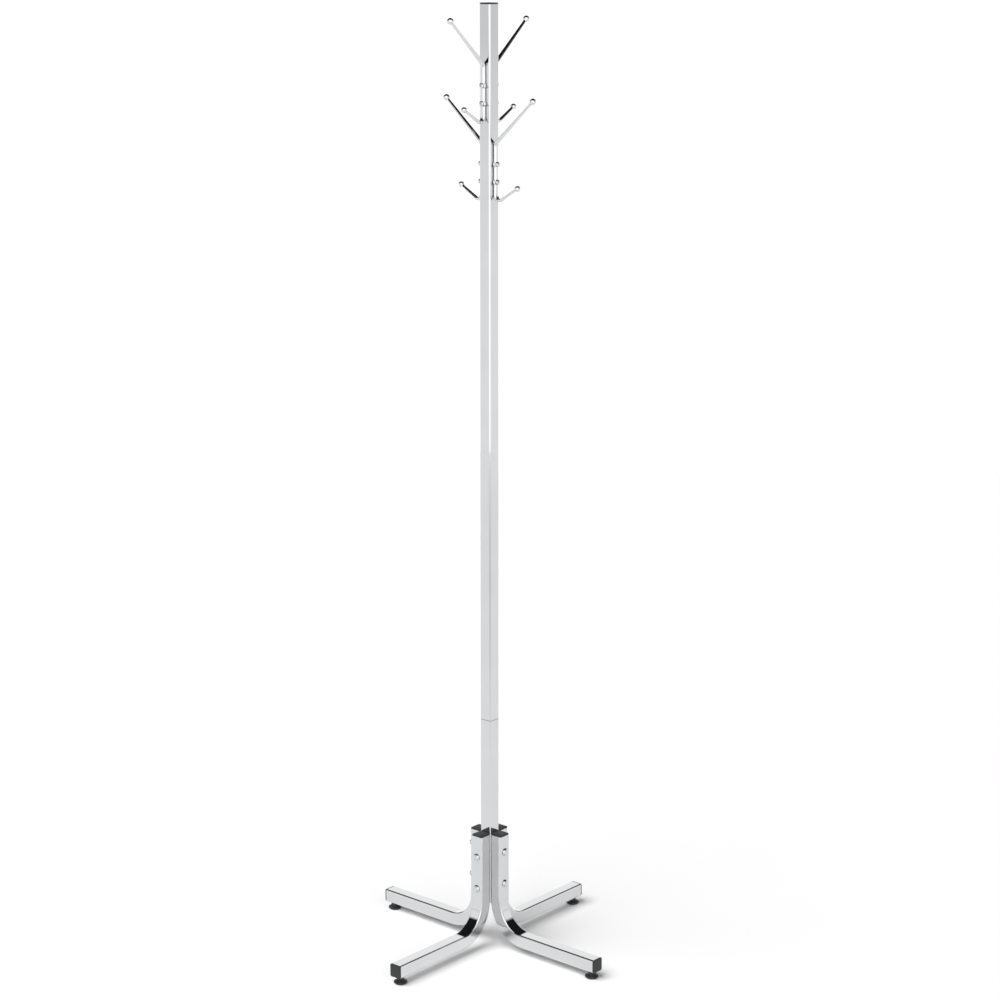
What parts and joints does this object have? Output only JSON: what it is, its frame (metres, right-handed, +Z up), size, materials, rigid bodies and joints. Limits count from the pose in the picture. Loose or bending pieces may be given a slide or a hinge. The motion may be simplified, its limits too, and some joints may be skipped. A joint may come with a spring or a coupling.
{
  "type": "standing coat rack",
  "caption": "Standing coat rack: a square chrome post on bent tube legs, with double ball-tipped hooks round the top and screw-adjusted glides.",
  "frame": {"origin": "on the floor, under the axis of the post", "axes": "+Z up along the post; the front leg points along -Y and the right leg along +X"},
  "size_m": [0.5334, 0.5334, 1.778],
  "materials": {
    "chrome_tube": "bright chrome plate on square steel tube",
    "cast_chrome": "bright chrome plate on a casting",
    "bright_fastener": "bright plated fastener",
    "black_plastic": "satin black moulded plastic",
    "zinc_steel": "zinc-plated steel",
    "black_steel": "black-finished steel"
  },
  "bodies": {
    "stand": {"lower_post": "chrome_tube", "upper_post": "chrome_tube", "post_joiner": "zinc_steel", "post_top_plug": "black_plastic", "right_leg": "chrome_tube", "right_leg_top_plug": "black_plastic", "right_leg_end_plug": "black_plastic", "right_glide_insert": "zinc_steel", "right_hook": "cast_chrome", "right_hook_lower_screw": "bright_fastener", "right_hook_upper_screw": "bright_fastener", "right_leg_lower_bolt": "bright_fastener", "right_leg_lower_washer": "bright_fastener", "right_leg_lower_cap_nut": "bright_fastener", "right_leg_upper_bolt": "bright_fastener", "right_leg_upper_washer": "bright_fastener", "right_leg_upper_cap_nut": "bright_fastener", "back_leg": "chrome_tube", "back_leg_top_plug": "black_plastic", "back_leg_end_plug": "black_plastic", "back_glide_insert": "zinc_steel", "back_hook": "cast_chrome", "back_hook_lower_screw": "bright_fastener", "back_hook_upper_screw": "bright_fastener", "left_leg": "chrome_tube", "left_leg_top_plug": "black_plastic", "left_leg_end_plug": "black_plastic", "left_glide_insert": "zinc_steel", "left_hook": "cast_chrome", "left_hook_lower_screw": "bright_fastener", "left_hook_upper_screw": "bright_fastener", "front_leg": "chrome_tube", "front_leg_top_plug": "black_plastic", "front_leg_end_plug": "black_plastic", "front_glide_insert": "zinc_steel", "front_hook": "cast_chrome", "front_hook_lower_screw": "bright_fastener", "front_hook_upper_screw": "bright_fastener", "front_leg_lower_bolt": "bright_fastener", "front_leg_lower_washer": "bright_fastener", "front_leg_lower_cap_nut": "bright_fastener", "front_leg_upper_bolt": "bright_fastener", "front_leg_upper_washer": "bright_fastener", "front_leg_upper_cap_nut": "bright_fastener"},
    "right_pad": {"right_glide_pad": "black_plastic"},
    "right_stud": {"right_glide_stud": "black_steel"},
    "back_pad": {"back_glide_pad": "black_plastic"},
    "back_stud": {"back_glide_stud": "black_steel"},
    "left_pad": {"left_glide_pad": "black_plastic"},
    "left_stud": {"left_glide_stud": "black_steel"},
    "front_pad": {"front_glide_pad": "black_plastic"},
    "front_stud": {"front_glide_stud": "black_steel"}
  },
  "joints": [
    {"name": "right_glide_lift", "type": "slide", "parent": "stand", "child": "right_pad", "axis": [0, 0, 1], "range_m": [-0.01, 0.003]},
    {"name": "right_glide_turn", "type": "hinge", "parent": "right_pad", "child": "right_stud", "pos_m": [0.252, 0, 0], "axis": [0, 0, 1], "range_deg": [-2881, 865]},
    {"name": "back_glide_lift", "type": "slide", "parent": "stand", "child": "back_pad", "axis": [0, 0, 1], "range_m": [-0.01, 0.003]},
    {"name": "back_glide_turn", "type": "hinge", "parent": "back_pad", "child": "back_stud", "pos_m": [0, 0.252, 0], "axis": [0, 0, 1], "range_deg": [-2881, 865]},
    {"name": "left_glide_lift", "type": "slide", "parent": "stand", "child": "left_pad", "axis": [0, 0, 1], "range_m": [-0.01, 0.003]},
    {"name": "left_glide_turn", "type": "hinge", "parent": "left_pad", "child": "left_stud", "pos_m": [-0.252, 0, 0], "axis": [0, 0, 1], "range_deg": [-2881, 865]},
    {"name": "front_glide_lift", "type": "slide", "parent": "stand", "child": "front_pad", "axis": [0, 0, 1], "range_m": [-0.01, 0.003]},
    {"name": "front_glide_turn", "type": "hinge", "parent": "front_pad", "child": "front_stud", "pos_m": [0, -0.252, 0], "axis": [0, 0, 1], "range_deg": [-2881, 865]}
  ],
  "couplings": [
    {"joint": "right_glide_turn", "follows": "right_glide_lift", "rad_per_m": 5026.5},
    {"joint": "back_glide_turn", "follows": "back_glide_lift", "rad_per_m": 5026.5},
    {"joint": "left_glide_turn", "follows": "left_glide_lift", "rad_per_m": 5026.5},
    {"joint": "front_glide_turn", "follows": "front_glide_lift", "rad_per_m": 5026.5}
  ]
}
